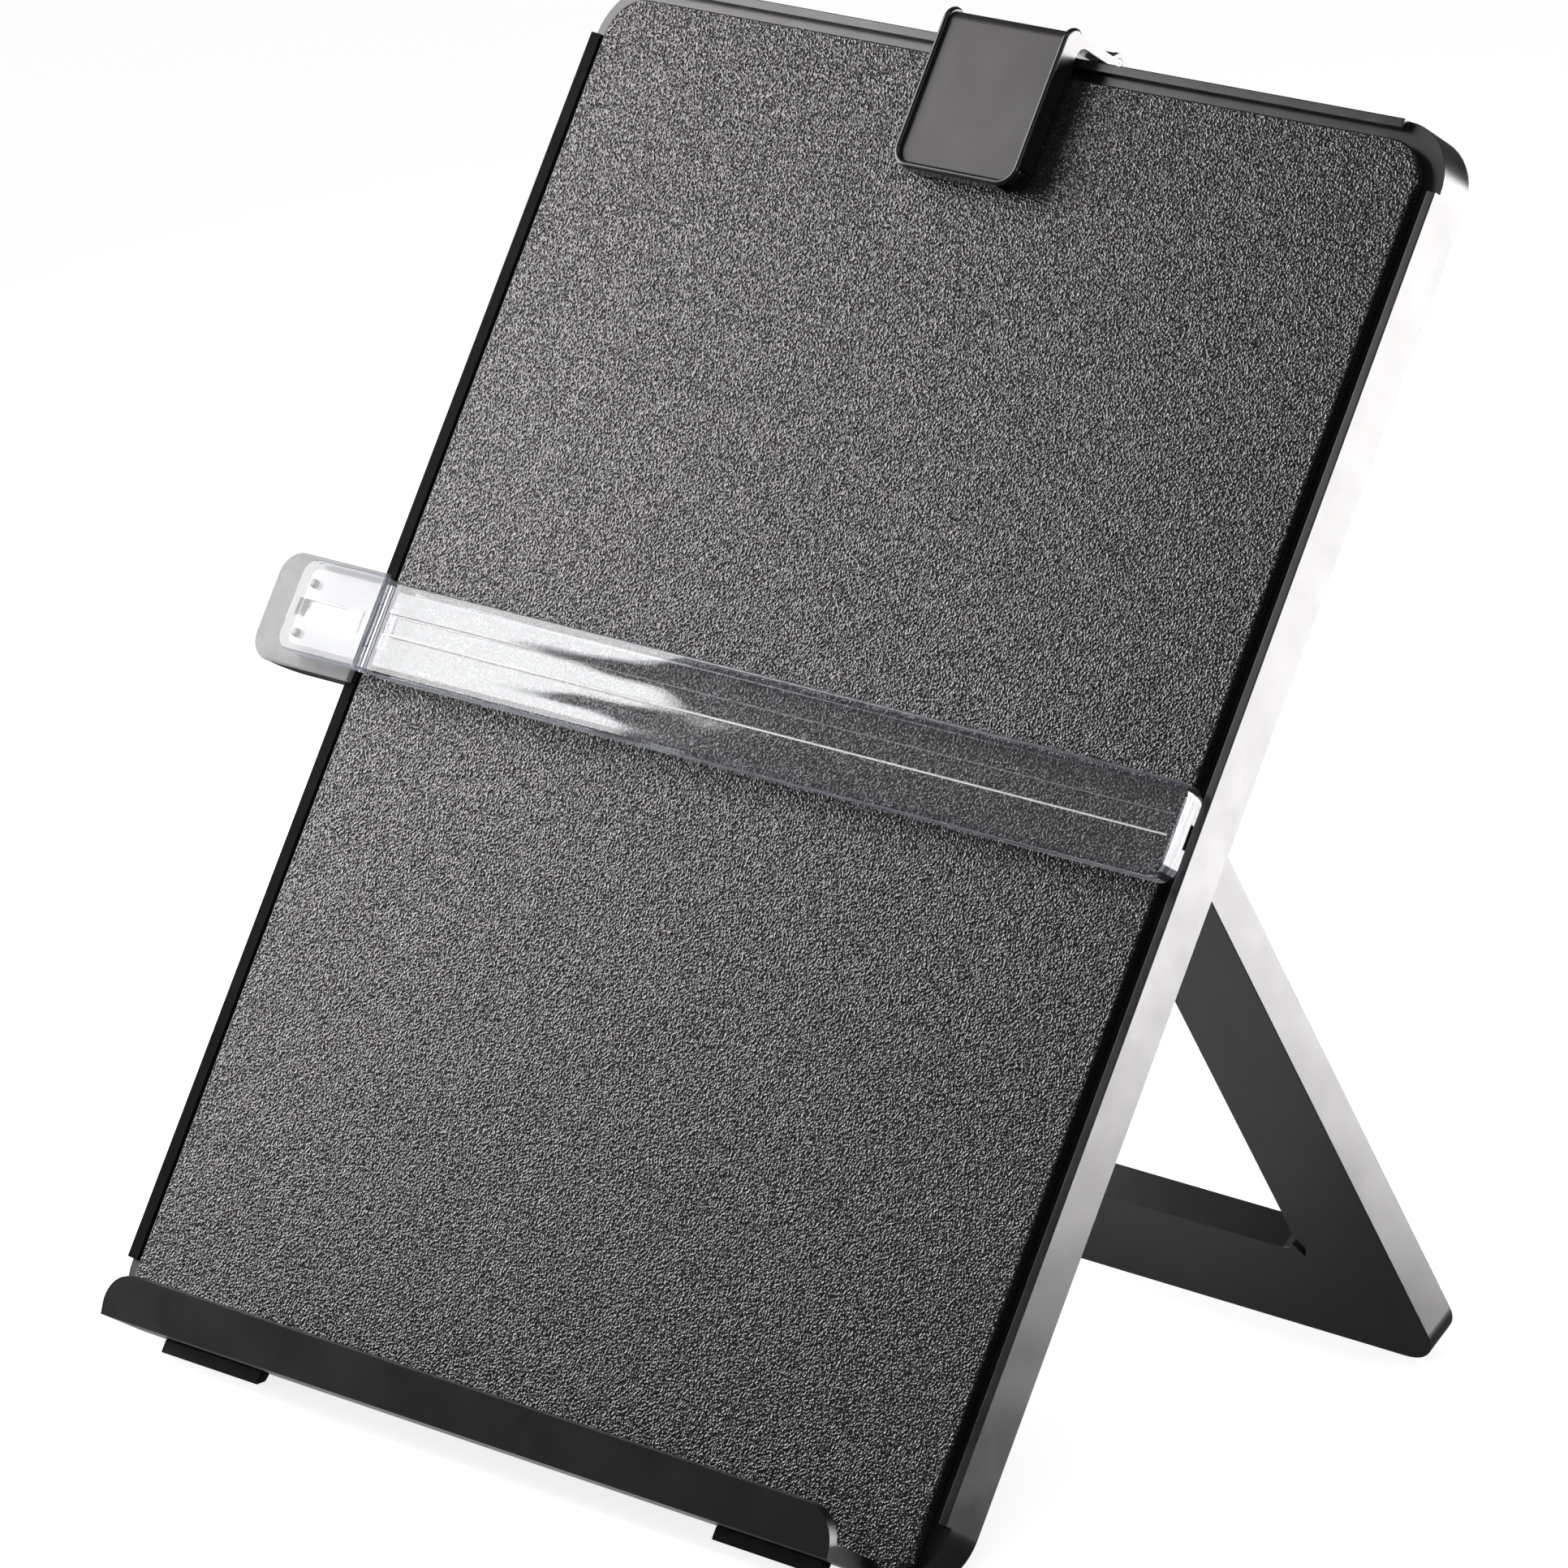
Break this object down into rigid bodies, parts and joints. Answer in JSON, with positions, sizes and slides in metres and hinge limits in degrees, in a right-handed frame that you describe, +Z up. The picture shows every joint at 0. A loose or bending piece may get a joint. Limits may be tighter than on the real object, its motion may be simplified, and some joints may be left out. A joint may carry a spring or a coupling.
{
  "type": "copy holder with line guide",
  "caption": "Desktop copy holder: a leaning textured board on a folding easel leg, with a lipped ledge, a sliding clear line guide and a sprung paper clip on the top edge.",
  "frame": {"origin": "centre of the overall box at desk level, in the pose of use with the leg open and the guide part-way down", "axes": "+Z up, the board faces -Y and leans back towards +Y, +X to the right of someone reading it"},
  "size_m": [0.2604, 0.1874, 0.2708],
  "materials": {
    "frame_plastic": "moulded plastic with a fine satin grain",
    "panel_plastic": "moulded plastic with a coarse pebble texture",
    "ledge_plastic": "satin moulded plastic",
    "foot_rubber": "soft matt rubber",
    "cap_plastic": "satin moulded plastic",
    "screw_steel": "blackened steel screw",
    "leg_plastic": "satin moulded plastic",
    "pin_steel": "drawn steel pin",
    "plate_plastic": "frosted clear plastic",
    "hook_plastic": "smooth dark moulded plastic",
    "cover_plastic": "clear moulded plastic",
    "rivet_steel": "plain rivet",
    "spring_steel": "spring steel",
    "guide_plastic": "clear polished plastic with two scribed lines",
    "carriage_plastic": "satin moulded plastic",
    "clip_plastic": "satin moulded plastic",
    "pad_rubber": "soft matt rubber"
  },
  "bodies": {
    "board": {"board_frame": "frame_plastic", "front_panel": "panel_plastic", "document_ledge": "ledge_plastic", "foot_left": "foot_rubber", "foot_right": "foot_rubber", "hinge_cap_left": "cap_plastic", "hinge_cap_right": "cap_plastic", "hinge_cap_screws": "screw_steel"},
    "leg": {"leg_frame": "leg_plastic", "leg_pivot_pins": "pin_steel"},
    "slider": {"thumb_plate": "plate_plastic", "slider_hook": "hook_plastic", "slider_cover": "cover_plastic", "slider_rivets": "rivet_steel", "slider_brake_spring": "spring_steel", "guide_hinge_pin": "pin_steel"},
    "guide": {"line_guide": "guide_plastic"},
    "clip_base": {"clip_carriage": "carriage_plastic", "clip_spring": "spring_steel"},
    "clip": {"clip_lever": "clip_plastic", "clip_pin": "pin_steel", "clip_grip_pad": "pad_rubber"}
  },
  "joints": [
    {"name": "leg_fold", "type": "hinge", "parent": "board", "child": "leg", "pos_m": [0.01425, 0.00652, 0.13367], "axis": [1, 0, 0], "range_deg": [-63.45, 0]},
    {"name": "guide_slide", "type": "slide", "parent": "board", "child": "slider", "axis": [0, 0.515, 0.8572], "range_m": [-0.128, 0.107]},
    {"name": "guide_flip", "type": "hinge", "parent": "slider", "child": "guide", "pos_m": [-0.09315, -0.00486, 0.13735], "axis": [0, -0.515, -0.8572], "range_deg": [0, 90]},
    {"name": "clip_slide", "type": "slide", "parent": "board", "child": "clip_base", "axis": [1, 0, 0], "range_m": [-0.085, 0.085]},
    {"name": "clip_open", "type": "hinge", "parent": "clip_base", "child": "clip", "pos_m": [0.01425, 0.08936, 0.26134], "axis": [-1, 0, 0], "range_deg": [0, 18], "stiffness_Nm_per_rad": 0.3, "springref_deg": -28.65}
  ]
}
